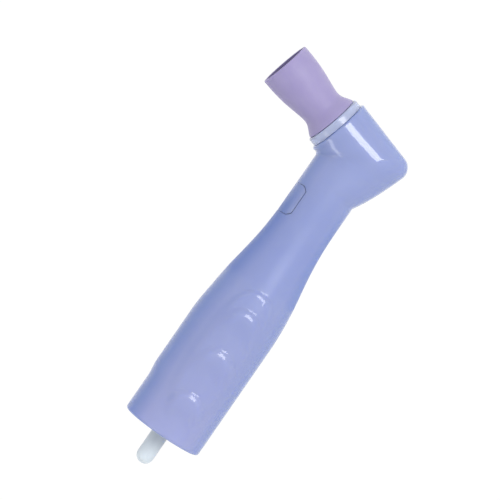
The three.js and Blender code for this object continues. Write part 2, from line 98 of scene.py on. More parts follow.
# Shaft and bushing
SHANK_RADIUS = 1.175
SHANK_REACH = 4.797
JOURNAL_RADIUS = 1.35
BUSHING_START = 30.6
BUSHING_END = 38.2
BUSHING_SLIT = 1.6
COLLAR_RADIUS = 1.9
COLLAR_LENGTH = 1
STOP_RIB_RADIUS = 2.5
STOP_RIB_LENGTH = 1

# Bevel gears
PINION_TEETH = 8
ROTOR_TEETH = 12
ROTOR_PITCH_RADIUS = 2.85
FACE_WIDTH = 1.1
ADDENDUM_SHARE = 0.72
DEDENDUM_SHARE = 1.0
BACKLASH_SHARE = 0.16
PRESSURE_ANGLE = math.radians(20)

# Rotor
PIVOT_RADIUS = 0.8
PIVOT_END = -5.8
PIVOT_BOSS_RADIUS = 1.7
PIVOT_BOSS_TOP = -4.3
ROTOR_BACK = 2.35
HUB_RADIUS = 1.9
BUTTON_NECK_RADIUS = 1.15
BUTTON_NECK_LENGTH = 1.1
BUTTON_RADIUS = 1.7
BUTTON_LENGTH = 1.2
BUTTON_DOME = 0.35

# Cap, washer and seal
CAP_RADIUS = 3.9
CAP_TOP = 5
CAP_ROUND = 0.25
CAP_SKIRT_RADIUS = 3.2
CAP_SKIRT_WALL = 0.55
WASHER_THICKNESS = 0.4
SEAL_HEIGHT = 0.5
SEAL_WIDTH = 0.5

# Cup
CUP_BASE_RADIUS = 3.6
CUP_WAIST_RADIUS = 2.77
CUP_WAIST_HEIGHT = 1.9
CUP_RIM_RADIUS = 3.45
CUP_HEIGHT = 9.27
CUP_LIP_WALL = 0.5
CUP_FLOOR_WALL = 0.65
CUP_FLOOR_RADIUS = 2.15
WEB_COUNT = 4
WEB_THICKNESS = 0.55
WEB_REACH = 1.25
WEB_DROP = 1.3

RUNNING_GAP = 0.05
SEAT_GAP = 0.05
CUP_LIFT = 0.15
CUP_LIP_DROP = 0.11

# Facets
SHELL_COLUMNS = 160
ROUND_SIDES = 96
CORNER_STEPS = 4
SHARP_EDGE = math.radians(38)

PINION_CONE = math.atan2(math.cos(HEAD_TILT), ROTOR_TEETH / PINION_TEETH - math.sin(HEAD_TILT))
ROTOR_CONE = math.pi / 2 + HEAD_TILT - PINION_CONE
CONE_DISTANCE = ROTOR_PITCH_RADIUS / math.sin(ROTOR_CONE)
BORE_RADIUS = NECK_RADIUS - WALL

# The angle's own frame in the row, read from its two joints.
joints = {joint["name"]: joint for joint in frame["joints"]}
REAR = Vector(joints["drive_spin"]["pos_m"])
ALONG = Vector(joints["drive_spin"]["axis"]).normalized()
CUP_AXIS = Vector(joints["cup_spin"]["axis"]).normalized()
SIDE = (CUP_AXIS - ALONG * CUP_AXIS.dot(ALONG)).normalized()
FACING = ALONG.cross(SIDE)


def columns(x_axis, y_axis, z_axis, place):
    matrix = Matrix((x_axis, y_axis, z_axis)).transposed().to_4x4()
    matrix.translation = place
    return matrix


PLACE = columns(ALONG, SIDE, FACING, REAR) @ Matrix.Scale(MM, 4)
IN_HEAD = Matrix.Translation((HEAD_POSITION, 0, 0)) @ Matrix.Rotation(-HEAD_TILT, 4, "Z")
ALONG_HANDLE = Matrix.Rotation(-math.pi / 2, 4, "Z")


# ---------------------------------------------------------------- helpers


def mix(a, b, share):
    return a + (b - a) * share


def clamp(value, low=0.0, high=1.0):
    return max(low, min(high, value))


def smooth(low, high, value):
    share = clamp((value - low) / (high - low))
    return share * share * (3 - 2 * share)


def spread(low, high, count):
    return [mix(low, high, i / (count - 1)) for i in range(count)]


def bezier(points, share):
    while len(points) > 1:
        points = [a + (b - a) * share for a, b in zip(points, points[1:])]
    return points[0]


def arc(centre, radius, start, end, count):
    """Points on an arc, as pairs."""
    return [
        (centre[0] + radius * math.cos(a), centre[1] + radius * math.sin(a))
        for a in spread(start, end, count)
    ]


def rounded(corners, closed=False):
    """A polyline of (radius, height, fillet) corners, with an arc in place of each filleted corner."""
    points = []
    count = len(corners)
    for i, (x, y, fillet) in enumerate(corners):
        here = Vector((x, y))
        inner = closed or 0 < i < count - 1
        if not fillet or not inner:
            points.append((x, y))
            continue
        before = Vector(corners[i - 1][:2]) - here
        after = Vector(corners[(i + 1) % count][:2]) - here
        half = before.angle(after) / 2
        reach = min(fillet / math.tan(half), 0.49 * before.length, 0.49 * after.length)
        start = here + before.normalized() * reach
        end = here + after.normalized() * reach
        for step in range(CORNER_STEPS + 1):
            point = bezier([start, here, end], step / CORNER_STEPS)
            points.append((point.x, point.y))
    return points


def lathe(profile, sides=ROUND_SIDES, closed=False):
    """Vertices and faces of a turned surface about +Y. A profile point on the axis becomes a pole."""
    vertices, faces, rows = [], [], []
    for radius, height in profile:
        if radius < 1e-6:
            rows.append([len(vertices)] * sides)
            vertices.append((0, height, 0))
        else:
            rows.append(list(range(len(vertices), len(vertices) + sides)))
            for i in range(sides):
                a = TURN * i / sides
                vertices.append((radius * math.cos(a), height, radius * math.sin(a)))
    pairs = list(zip(rows, rows[1:]))
    if closed:
        pairs.append((rows[-1], rows[0]))
    for low, high in pairs:
        for i in range(sides):
            j = (i + 1) % sides
            corners = [low[i], high[i], high[j], low[j]]
            face = list(dict.fromkeys(corners))
            if len(face) > 2:
                faces.append(face)
    return vertices, faces


def loft(rings, closed=False):
    """Vertices and faces of a skin through rings of equal length."""
    sides = len(rings[0])
    vertices = [tuple(point) for ring in rings for point in ring]
    count = len(rings)
    faces = []
    for row in range(count if closed else count - 1):
        next_row = (row + 1) % count
        for i in range(sides):
            j = (i + 1) % sides
            faces.append([
                row * sides + i,
                row * sides + j,
                next_row * sides + j,
                next_row * sides + i,
            ])
    return vertices, faces


def capped(vertices, faces, sides):
    """Closes both ends of an open loft."""
    last = len(vertices) - sides
    return vertices, faces + [list(range(sides))[::-1], list(range(last, last + sides))]


def mesh_of(name, vertices, faces, matrix=Matrix.Identity(4)):
    """A mesh object in the angle's frame, its faces turned outwards."""
    mesh = bpy.data.meshes.new(name)
    mesh.from_pydata([matrix @ Vector(v) for v in vertices], [], faces)
    shape = bmesh.new()
    shape.from_mesh(mesh)
    bmesh.ops.recalc_face_normals(shape, faces=shape.faces)
    shape.to_mesh(mesh)
    shape.free()
    piece = bpy.data.objects.new(name, mesh)
    bpy.context.scene.collection.objects.link(piece)
    return piece


def baked(piece):
    """Turns a piece's modifiers into its mesh."""
    bpy.context.view_layer.update()
    result = piece.evaluated_get(bpy.context.evaluated_depsgraph_get())
    mesh = bpy.data.meshes.new_from_object(result)
    old = piece.data
    piece.modifiers.clear()
    piece.data = mesh
    bpy.data.meshes.remove(old)
    return piece


def cut(piece, tool, operation="DIFFERENCE"):
    """Boolean of piece with tool, which is used up."""
    modifier = piece.modifiers.new("cut", "BOOLEAN")
    modifier.operation = operation
    modifier.solver = "EXACT"
    modifier.object = tool
    baked(piece)
    bpy.data.objects.remove(tool)
    return piece


def bevelled(piece, width, segments=2):
    modifier = piece.modifiers.new("round", "BEVEL")
    modifier.width = width
    modifier.segments = segments
    modifier.limit_method = "ANGLE"
    modifier.angle_limit = math.radians(40)
    modifier.harden_normals = False
    return baked(piece)


def joined(name, parts):
    """One object from several, as separate shells."""
    mesh = bpy.data.meshes.new(name)
    shape = bmesh.new()
    for part in parts:
        shape.from_mesh(part.data)
    shape.to_mesh(mesh)
    shape.free()
    for part in parts:
        bpy.data.objects.remove(part)
    piece = bpy.data.objects.new(name, mesh)
    bpy.context.scene.collection.objects.link(piece)
    return piece


def finished(piece, node, body, material, sharp=SHARP_EDGE):
    """Sets a piece in its place in the row and hands it to the frame."""
    piece.data.transform(PLACE)
    piece.data.materials.clear()
    piece.data.materials.append(material)
    for polygon in piece.data.polygons:
        polygon.material_index = 0
        polygon.use_smooth = True
    piece.data.set_sharp_from_angle(angle=sharp)
    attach(piece, body)
    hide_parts(node)
    return piece


# ---------------------------------------------------------------- the housing's sections


def head_point(across, height):
    turned = Matrix.Rotation(-HEAD_TILT, 2) @ Vector((across, height))
    return turned + Vector((HEAD_POSITION, 0))


def head_radius(height):
    return HEAD_TOP_RADIUS - HEAD_DRAFT * (HEAD_TOP - height)


def station(outer, inner, half_width, power=2.0):
    """One cross-section: its heel-side point, its cup-side point and its half width across them."""
    return {"outer": outer, "inner": inner, "half_width": half_width, "power": power}


def handle_station(x, radius, swell=0.0):
    return station(Vector((x, -radius)), Vector((x, radius + swell)), radius)


def head_station(height, radius):
    return station(head_point(radius, height), head_point(-radius, height), radius)


def taper_points():
    run = NECK_START - GRIP_LENGTH
    drop = SLEEVE_RADIUS - NECK_RADIUS
    controls = [
        Vector((GRIP_LENGTH, SLEEVE_RADIUS)),
        Vector((GRIP_LENGTH + 0.42 * run, SLEEVE_RADIUS - 0.06 * drop)),
        Vector((GRIP_LENGTH + 0.555 * run, NECK_RADIUS + 0.06 * drop)),
        Vector((NECK_START, NECK_RADIUS)),
    ]
    return [bezier(controls, share) for share in spread(0, 1, 201)]


TAPER = taper_points()


def sleeve_radius_at(x):
    if x <= GRIP_LENGTH:
        return SLEEVE_RADIUS
    for a, b in zip(TAPER, TAPER[1:]):
        if b.x >= x:
            return mix(a.y, b.y, (x - a.x) / (b.x - a.x))
    return NECK_RADIUS


def swell_at(x):
    fade = (NECK_START - GRIP_LENGTH) / 5
    rise = smooth(SWELL_START - 1.2, SWELL_START + 1.2, x)
    return SWELL * rise * (1 - smooth(GRIP_LENGTH - 1.5, GRIP_LENGTH + fade, x))


def sleeve_station(x):
    return handle_station(x, sleeve_radius_at(x), swell_at(x))


def crotch_pivot():
    height = 0.0
    for _ in range(12):
        error = head_point(-head_radius(height), height).y - NECK_RADIUS
        height -= error / math.cos(HEAD_TILT)
    corner = head_point(-head_radius(height), height)
    half = (math.pi / 2 - HEAD_TILT) / 2
    return Vector((corner.x - CROTCH_ROUND * math.tan(half), NECK_RADIUS + CROTCH_ROUND))


def heel_points(top_height, ramp_count, arc_count, side_count):
    """Down the ramp, round the heel and up the far side of the head."""
    top = head_point(head_radius(top_height), top_height)
    low = head_point(head_radius(0), 0)
    upward = (top - low).normalized()
    outward = Vector((upward.y, -upward.x))
    centre = low - outward * HEEL_ROUND
    centre += upward * ((HEEL_ROUND - HEEL_DEPTH - centre.y) / upward.y)
    start_angle = -math.pi / 2 - HEEL_RAMP_FLAT
    end_angle = math.atan2(outward.y, outward.x)
    start = Vector((HEEL_RAMP_START, -NECK_RADIUS))
    ramp_end = centre + Vector((math.cos(start_angle), math.sin(start_angle))) * HEEL_ROUND
    steep, flat = math.tan(HEEL_RAMP_STEEP), math.tan(HEEL_RAMP_FLAT)
    bend = (start.y - ramp_end.y - flat * (ramp_end.x - start.x)) / (steep - flat)
    middle = Vector((start.x + bend, start.y - steep * bend))
    ramp = [bezier([start, middle, ramp_end], share) for share in spread(0, 1, ramp_count)]
    turn = [Vector(p) for p in arc(centre, HEEL_ROUND, start_angle, end_angle, arc_count)]
    side = [turn[-1] + (top - turn[-1]) * share for share in spread(0, 1, side_count)]
    return ramp + turn[1:] + side[1:]


def elbow_stations():
    pivot = crotch_pivot()
    side_angle = math.pi / 2 - HEAD_TILT
    crotch_end = pivot + Vector((math.sin(side_angle), -math.cos(side_angle))) * CROTCH_ROUND
    top_height = (Matrix.Rotation(HEAD_TILT, 2) @ (crotch_end - Vector((HEAD_POSITION, 0)))).y
    heel = heel_points(top_height, 22, 20, 16)
    fan = sum(1 for point in heel if point.x > pivot.x)
    start_angle = math.atan2(heel[-fan].y - pivot.y, heel[-fan].x - pivot.x)
    end_angle = math.atan2(heel[-1].y - pivot.y, heel[-1].x - pivot.x)
    stations = []
    for outer in heel:
        if outer.x <= pivot.x:
            stations.append(station(outer, Vector((outer.x, NECK_RADIUS)), NECK_RADIUS))
            continue
        angle = math.atan2(outer.y - pivot.y, outer.x - pivot.x)
        share = clamp((angle - start_angle) / (end_angle - start_angle))
        inner = pivot + (outer - pivot).normalized() * CROTCH_ROUND
        side_width = HEAD_TOP_RADIUS - HEAD_SIDE_DRAFT * (HEAD_TOP - top_height * share)
        half_width = mix(NECK_RADIUS, side_width, smooth(0, 0.62, share))
        power = 2 + HEEL_SQUARENESS * math.sin(math.pi * share) ** 2
        stations.append(station(outer, inner, half_width, power))
    return stations


def squared(value, power):
    return math.copysign(abs(value) ** (2 / power), value)


def column_angle(i):
    """Columns crowd towards the two flat sides, where the pads and bumps are."""
    t = TURN * i / SHELL_COLUMNS
    return t + 0.2 * math.sin(2 * t)


def ring(section, inset=0.0, raised=None):
    """Points round a section. raised(point) adds to its radius."""
    outer, inner = section["outer"], section["inner"]
    middle = (outer + inner) / 2
    reach = (outer - inner).length / 2 - inset
    heelward = (outer - inner).normalized()
    width = section["half_width"] - inset
    points = []
    for i in range(SHELL_COLUMNS):
        a = column_angle(i)
        flat = middle + heelward * (reach * squared(math.cos(a), section["power"]))
        point = Vector((flat.x, flat.y, width * squared(math.sin(a), section["power"])))
        if raised:
            outward = Vector((0, point.y, point.z)).normalized()
            point += outward * raised(point)
        points.append(point)
    return points


def pad_height(x, y):
    """The raised grip pad: crisp at its front end, soft at its sides and fading out at the rear."""
    across = abs(y) / PAD_HALF_WIDTH
    along = abs(x - PAD_MIDDLE) / PAD_HALF_LENGTH
    place = (across ** PAD_SQUARENESS + along ** PAD_SQUARENESS) ** (1 / PAD_SQUARENESS)
    forward = smooth(PAD_MIDDLE - PAD_HALF_LENGTH, PAD_MIDDLE, x)
    sideways = across ** 4 / (across ** 4 + along ** 4 + 1e-9)
    edge = mix(mix(0.3, 0.06, forward), 0.4, sideways)
    crisp = 1 - clamp((place - 1 + edge) / edge) ** 2
    soft = 1 - smooth(1 - edge, 1.01, place)
    return PAD_RISE * mix(crisp, soft, max(sideways, 1 - forward))


def bump_height(x, y):
    """Three low crescents, steep in front and fading to the rear and the sides."""
    height = 0.0
    for foot in BUMP_FEET:
        behind = foot - BUMP_BOW * y * y - x
        rise = (1 - (1 - clamp(behind / 1.15)) ** 2) * (1 - smooth(1.0, 3.9, behind))
        height += BUMP_RISE * rise * (1 - smooth(1.1, 2.7, abs(y)))
    return height


def grip_height(point):
    if abs(point.z) < 0.3 * SLEEVE_RADIUS or point.x > PAD_MIDDLE + PAD_HALF_LENGTH + 1:
        return 0.0
    return pad_height(point.x, point.y) + bump_height(point.x, point.y)


def rib_height(point):
    """Ribs on the bore, halfway between the flat sides, that hold the handpiece nose."""
    if not RIB_START < point.x < GRIP_LENGTH:
        return 0.0
    turn = math.atan2(point.z, point.y) / (TURN / RIB_COUNT) - 0.5
    off = abs(turn - round(turn)) * TURN / RIB_COUNT * (SLEEVE_RADIUS - WALL)
    ends = smooth(RIB_START, RIB_START + 0.3, point.x) * (1 - smooth(GRIP_LENGTH - 0.4, GRIP_LENGTH, point.x))
    return -RIB_HEIGHT * ends * (1 - smooth(RIB_HALF_WIDTH * 0.6, RIB_HALF_WIDTH * 1.4, off))


def housing_shell():
    """One closed skin: the outside from the rear rim to the head's mouth, then the inside back again."""
    rim = arc((RIM_ROUND, SLEEVE_RADIUS - RIM_ROUND), RIM_ROUND, math.pi, math.pi / 2, 6)
    sleeve_xs = spread(RIM_ROUND, PAD_MIDDLE + PAD_HALF_LENGTH + 1, 124)[1:]
    taper_xs = spread(sleeve_xs[-1], HEEL_RAMP_START, 46)[1:-1]
    elbow = elbow_stations()
    shoulder = HEAD_TOP_RADIUS - HEAD_SHOULDER
    cheek = arc((shoulder, HEAD_TOP - HEAD_SHOULDER), HEAD_SHOULDER, 0, math.pi / 2, 6)
    mouth = CAP_SKIRT_RADIUS + SEAT_GAP
    mouth_floor = ROTOR_BACK - WASHER_THICKNESS
    lip = arc((mouth + 0.1, HEAD_TOP - 0.1), 0.1, math.pi / 2, math.pi, 4)
    rows = [ring(handle_station(x, radius)) for x, radius in rim]
    rows += [ring(sleeve_station(x), raised=grip_height) for x in sleeve_xs]
    rows += [ring(sleeve_station(x)) for x in taper_xs]
    rows += [ring(section) for section in elbow]
    rows += [ring(head_station(height, radius)) for radius, height in cheek]
    rows += [ring(head_station(height, radius)) for radius, height in lip]
    rows += [ring(head_station(height, mouth)) for height in spread(HEAD_TOP - 0.2, mouth_floor, 4)]
    rows += [ring(section, WALL) for section in reversed(elbow)]
    inside_xs = spread(HEEL_RAMP_START, RIM_ROUND, 100)[1:]
    rows += [ring(sleeve_station(x), WALL, rib_height) for x in inside_xs]
    bore = SLEEVE_RADIUS - WALL
    inner_rim = arc((0.15, bore + 0.15), 0.15, -math.pi / 2, -math.pi, 4)
    rows += [ring(handle_station(x, radius)) for x, radius in inner_rim]
    return mesh_of("housing_shell", *loft(rows, closed=True))


def prism(outline, half_width, name):
    count = len(outline)
    vertices = [(x, y, z) for z in (-half_width, half_width) for x, y in outline]
    faces = [[i, (i + 1) % count, (i + 1) % count + count, i + count] for i in range(count)]
    faces += [list(range(count))[::-1], list(range(count, 2 * count))]
    return mesh_of(name, vertices, faces)


def window_outline(gap):
    left, right = WINDOW_START + gap, WINDOW_END - gap
    sill, top = WINDOW_SILL + gap, NECK_RADIUS + 1
    return [
        (left, top),
        (left, sill + WINDOW_CHAMFER),
        (left + WINDOW_CHAMFER, sill),
        (right - WINDOW_CHAMFER, sill),
        (right, sill + WINDOW_CHAMFER),
        (right, top),
    ]


def make_housing():
    shell = housing_shell()
    boss = mesh_of("boss", *lathe(rounded([
        (0, PIVOT_END - 0.4, 0),
        (0.5 * PIVOT_BOSS_RADIUS, PIVOT_END - 0.4, 0),
        (PIVOT_BOSS_RADIUS, PIVOT_END + 0.6, 0),
        (PIVOT_BOSS_RADIUS, PIVOT_BOSS_TOP, 0.15),
        (PIVOT_RADIUS + RUNNING_GAP, PIVOT_BOSS_TOP, 0.1),
        (PIVOT_RADIUS + RUNNING_GAP, PIVOT_END - 2 * SEAT_GAP, 0),
        (0, PIVOT_END - 2 * SEAT_GAP, 0),
    ])), IN_HEAD)
    cut(shell, boss, "UNION")
    start = BUSHING_END + SEAT_GAP
    stop = mesh_of("stop", *lathe(rounded([
        (STOP_RIB_RADIUS, start, 0.1),
        (BORE_RADIUS + WALL / 2, start, 0),
        (BORE_RADIUS + WALL / 2, start + STOP_RIB_LENGTH, 0),
        (STOP_RIB_RADIUS, start + STOP_RIB_LENGTH, 0.1),
    ], closed=True), closed=True), ALONG_HANDLE)
    cut(shell, stop, "UNION")
    cut(shell, prism(window_outline(0), NECK_RADIUS, "window"))
    return shell


# ---------------------------------------------------------------- the bushing and its latch


def make_bushing():
    radius = BORE_RADIUS - SEAT_GAP
    bore = JOURNAL_RADIUS + RUNNING_GAP
    tube = mesh_of("tube", *lathe(rounded([
        (bore, BUSHING_START, 0.12),
        (radius, BUSHING_START, 0.2),
        (radius, BUSHING_END, 0.2),
        (bore, BUSHING_END, 0.12),
    ], closed=True), closed=True), ALONG_HANDLE)
    slit = prism([
        (BUSHING_START - 1, -radius - 1),
        (BUSHING_END + 1, -radius - 1),
        (BUSHING_END + 1, 0),
        (BUSHING_START - 1, 0),
    ], BUSHING_SLIT / 2, "slit")
    cut(tube, slit)
    neck = mesh_of("neck", *lathe([
        (0, WINDOW_START),
        (NECK_RADIUS, WINDOW_START),
        (NECK_RADIUS, WINDOW_END),
        (0, WINDOW_END),
    ]), ALONG_HANDLE)
    tab = prism(window_outline(LATCH_GAP), NECK_RADIUS + 1, "tab")
    cut(tab, neck, "INTERSECT")
    bevelled(tab, 0.12)
    core = mesh_of("core", *lathe([
        (0, BUSHING_START - 1),
        (bore, BUSHING_START - 1),
        (bore, BUSHING_END + 1),
        (0, BUSHING_END + 1),
    ]), ALONG_HANDLE)
    cut(tab, core)
    return cut(tube, tab, "UNION")


# ---------------------------------------------------------------- gears


def tooth_outline(count, cone, turn):
    """Points round a bevel gear at its back: (lean from the pitch cone, angle about the axis)."""
    module = 2 * CONE_DISTANCE * math.sin(cone) / count
    points = []
    for tooth in range(count):
        middle = turn + tooth * TURN / count
        half_angles = []
        for level in (-DEDENDUM_SHARE, -0.5, 0, 0.4, ADDENDUM_SHARE - 0.1, ADDENDUM_SHARE):
            height = level * module
            radius = CONE_DISTANCE * math.sin(cone) + height * math.cos(cone)
            thick = math.pi * module / 2 * (1 - BACKLASH_SHARE) - 2 * height * math.tan(PRESSURE_ANGLE)
            if level == ADDENDUM_SHARE:
                thick -= 0.22 * module
            half_angles.append((math.atan2(height, CONE_DISTANCE), thick / (2 * radius)))
        points += [(lean, middle - half) for lean, half in half_angles]
        points += [(lean, middle + half) for lean, half in reversed(half_angles)]
    return points


def gear(name, count, cone, turn, matrix):
    """A bevel gear about +Y with its apex at the origin. One face closes each end."""
    outline = tooth_outline(count, cone, turn)
    rings = []
    for distance_share, shrink in ((0, 0.35), (0.05, 0), (0.95, 0), (1, 0.35)):
        scale = (CONE_DISTANCE - FACE_WIDTH * distance_share) / CONE_DISTANCE
        points = []
        for lean, angle in outline:
            lean_here = lean - shrink * max(0.0, lean) * 0.4
            distance = scale * CONE_DISTANCE / math.cos(lean_here)
            radius = distance * math.sin(cone + lean_here)
            height = distance * math.cos(cone + lean_here)
            points.append((radius * math.cos(angle), height, radius * math.sin(angle)))
        rings.append(points)
    return mesh_of(name, *capped(*loft(rings), len(outline)), matrix)


def root_cone(count, cone):
    module = 2 * CONE_DISTANCE * math.sin(cone) / count
    lean = math.atan2(-DEDENDUM_SHARE * module, CONE_DISTANCE)
    distance = CONE_DISTANCE / math.cos(lean)
    heel = (distance * math.sin(cone + lean), distance * math.cos(cone + lean))
    share = (CONE_DISTANCE - FACE_WIDTH) / CONE_DISTANCE
    return heel, (heel[0] * share, heel[1] * share)


def make_drive_shaft():
    heel, toe = root_cone(PINION_TEETH, PINION_CONE)
    front = HEAD_POSITION - toe[1]
    back = HEAD_POSITION - heel[1]
    collar_end = BUSHING_START - RUNNING_GAP
    step = BUSHING_END + RUNNING_GAP
    tail = arc((0, SHANK_RADIUS - SHANK_REACH), SHANK_RADIUS, -math.pi / 2, 0, 14)
    tail[0] = (0, tail[0][1])
    body = rounded([
        (SHANK_RADIUS, 0, 0),
        (SHANK_RADIUS, collar_end - COLLAR_LENGTH - 0.4, 0.3),
        (COLLAR_RADIUS, collar_end - COLLAR_LENGTH, 0.15),
        (COLLAR_RADIUS, collar_end, 0.12),
        (JOURNAL_RADIUS, collar_end, 0.02),
        (JOURNAL_RADIUS, step, 0.02),
        (heel[0], step + STOP_RIB_LENGTH / 2, 0.1),
        (heel[0], back, 0.02),
        (toe[0], front, 0.1),
        (0, front, 0),
    ])
    shaft = mesh_of("shaft", *lathe(tail + body, 64), ALONG_HANDLE)
    flip = Matrix.Translation((HEAD_POSITION, 0, 0)) @ Matrix.Rotation(math.pi / 2, 4, "Z")
    teeth = gear("pinion", PINION_TEETH, PINION_CONE, 0, flip)
    return joined("drive_shaft_look", [shaft, teeth])


def make_rotor():
    heel, toe = root_cone(ROTOR_TEETH, ROTOR_CONE)
    hub_top = CAP_TOP + CUP_LIFT - SEAT_GAP
    neck_top = hub_top + BUTTON_NECK_LENGTH
    button_top = neck_top + BUTTON_LENGTH
    spindle = mesh_of("spindle", *lathe(rounded([
        (0, PIVOT_END, 0),
        (PIVOT_RADIUS, PIVOT_END, 0.15),
        (PIVOT_RADIUS, toe[1], 0.05),
        (toe[0], toe[1], 0.02),
        (heel[0], heel[1], 0.02),
        (heel[0], ROTOR_BACK, 0.12),
        (HUB_RADIUS, ROTOR_BACK, 0.02),
        (HUB_RADIUS, hub_top, 0.1),
        (BUTTON_NECK_RADIUS, hub_top, 0.05),
        (BUTTON_NECK_RADIUS, neck_top, 0.05),
        (BUTTON_RADIUS, neck_top, 0.12),
        (BUTTON_RADIUS, button_top, 0.12),
        (BUTTON_RADIUS - BUTTON_DOME, button_top + BUTTON_DOME, 0.2),
        (0, button_top + BUTTON_DOME, 0),
    ])), IN_HEAD)
    teeth = gear("crown", ROTOR_TEETH, ROTOR_CONE, math.pi / ROTOR_TEETH, IN_HEAD)
    return joined("rotor_look", [spindle, teeth])


# ---------------------------------------------------------------- the turned pieces


def make_washer():
    low = ROTOR_BACK + SEAT_GAP
    high = low + WASHER_THICKNESS
    inner = HUB_RADIUS + RUNNING_GAP
    outer = CAP_SKIRT_RADIUS - CAP_SKIRT_WALL / 2
    corners = [(inner, low, 0.06), (outer, low, 0.08), (outer, high, 0.08), (inner, high, 0.06)]
    return mesh_of("washer", *lathe(rounded(corners, closed=True), closed=True), IN_HEAD)


def make_cap():
    flange = HEAD_TOP + SEAT_GAP / 2
    skirt_end = ROTOR_BACK + WASHER_THICKNESS + 2 * SEAT_GAP
    bore = HUB_RADIUS + RUNNING_GAP
    counterbore = bore + SEAL_WIDTH + SEAT_GAP
    floor = CAP_TOP - SEAL_HEIGHT - 2 * SEAT_GAP
    return mesh_of("cap", *lathe(rounded([
        (bore, skirt_end, 0.1),
        (CAP_SKIRT_RADIUS, skirt_end, 0.15),
        (CAP_SKIRT_RADIUS, flange, 0.02),
        (CAP_RADIUS, flange, 0.04),
        (CAP_RADIUS, CAP_TOP, CAP_ROUND),
        (counterbore, CAP_TOP, 0.08),
        (counterbore, floor, 0.02),
        (bore, floor, 0.05),
    ], closed=True), closed=True), IN_HEAD)


def make_seal():
    middle = HUB_RADIUS + RUNNING_GAP + SEAL_WIDTH / 2
    height = CAP_TOP - SEAT_GAP - SEAL_HEIGHT / 2
    profile = arc((middle, height), SEAL_WIDTH / 2, 0, TURN * 17 / 18, 18)
    return mesh_of("seal", *lathe(profile, closed=True), IN_HEAD)


def cup_outside():
    base = CAP_TOP + CUP_LIFT
    foot = base - CUP_LIP_DROP
    rim = base + CUP_HEIGHT
    waist = base + CUP_WAIST_HEIGHT
    skirt = [
        Vector((CUP_BASE_RADIUS, foot + 0.14)),
        Vector((mix(CUP_BASE_RADIUS, CUP_WAIST_RADIUS, 0.42), base + 0.42 * CUP_WAIST_HEIGHT)),
        Vector((CUP_WAIST_RADIUS, base + 0.62 * CUP_WAIST_HEIGHT)),
        Vector((CUP_WAIST_RADIUS, waist + 0.1)),
    ]
    flare = [
        Vector((CUP_WAIST_RADIUS, waist + 0.1)),
        Vector((CUP_WAIST_RADIUS + 0.05, waist + 1.4)),
        Vector((CUP_RIM_RADIUS - 0.02, rim - 4.2)),
        Vector((CUP_RIM_RADIUS, rim - 1.2)),
    ]
    outline = [bezier(skirt, share) for share in spread(0, 1, 14)]
    outline += [bezier(flare, share) for share in spread(0, 1, 24)[1:]]
    return [(point.x, point.y) for point in outline]


def make_cup():
    base = CAP_TOP + CUP_LIFT
    rim = base + CUP_HEIGHT
    lip_inner = CUP_RIM_RADIUS - CUP_LIP_WALL
    button_top = base + BUTTON_NECK_LENGTH + BUTTON_LENGTH
    floor = button_top + BUTTON_DOME + CUP_FLOOR_WALL
    neck_top = base + BUTTON_NECK_LENGTH - 2 * SEAT_GAP
    lip = rounded([
        (CUP_RIM_RADIUS, rim - 1.2, 0),
        (CUP_RIM_RADIUS, rim, 0.17),
        (lip_inner, rim, 0.12),
        (CUP_FLOOR_RADIUS, floor + 0.5, 0.25),
        (CUP_FLOOR_RADIUS - 0.5, floor, 0.4),
        (0, floor, 0),
    ])
    socket = rounded([
        (0, button_top + BUTTON_DOME + SEAT_GAP, 0),
        (BUTTON_RADIUS - BUTTON_DOME + SEAT_GAP, button_top + BUTTON_DOME + SEAT_GAP, 0.15),
        (BUTTON_RADIUS + SEAT_GAP, button_top, 0.05),
        (BUTTON_RADIUS + SEAT_GAP, neck_top, 0.05),
        (BUTTON_NECK_RADIUS + SEAT_GAP, neck_top, 0.05),
        (BUTTON_NECK_RADIUS + SEAT_GAP, base, 0.08),
        (BUTTON_NECK_RADIUS + 0.8, base, 0.3),
        (CUP_BASE_RADIUS, base - CUP_LIP_DROP, 0.05),
        (CUP_BASE_RADIUS, base - CUP_LIP_DROP + 0.14, 0),
    ])
    skin = mesh_of("skin", *lathe(cup_outside() + lip[1:], 128), IN_HEAD)
    under = mesh_of("under", *lathe(socket, 128), IN_HEAD)
    shape = bmesh.new()
    shape.from_mesh(skin.data)
    shape.from_mesh(under.data)
    bmesh.ops.remove_doubles(shape, verts=shape.verts, dist=1e-5)
    bmesh.ops.recalc_face_normals(shape, faces=shape.faces)
    shape.to_mesh(skin.data)
    shape.free()
    bpy.data.objects.remove(under)
    reach = lip_inner - WEB_REACH
    for i in range(WEB_COUNT):
        outline = [
            (reach, floor - 0.3),
            (lip_inner + 0.2, floor - 0.3),
            (lip_inner + 0.2, rim - WEB_DROP),
            (reach, rim - WEB_DROP),
        ]
        web = prism(outline, WEB_THICKNESS / 2, "web")
        bevelled(web, 0.15, 3)
        web.data.transform(IN_HEAD @ Matrix.Rotation((i + 0.5) / WEB_COUNT * TURN, 4, "Y"))
        trim = mesh_of("trim", *lathe([
            (0, base),
            (CUP_WAIST_RADIUS - 0.1, base + 3),
            (CUP_RIM_RADIUS - 0.15, rim - 1),
            (0, rim - 1),
        ]), IN_HEAD)
        cut(web, trim, "INTERSECT")
        cut(skin, web, "UNION")
    return skin


# ---------------------------------------------------------------- materials


def node_material(name):
    material = bpy.data.materials.new(name)
    material.use_nodes = True
    tree = material.node_tree
    shader = next(n for n in tree.nodes if n.type == "BSDF_PRINCIPLED")
    place = tree.nodes.new("ShaderNodeTexCoord").outputs["Object"]
    return material, tree, shader, place


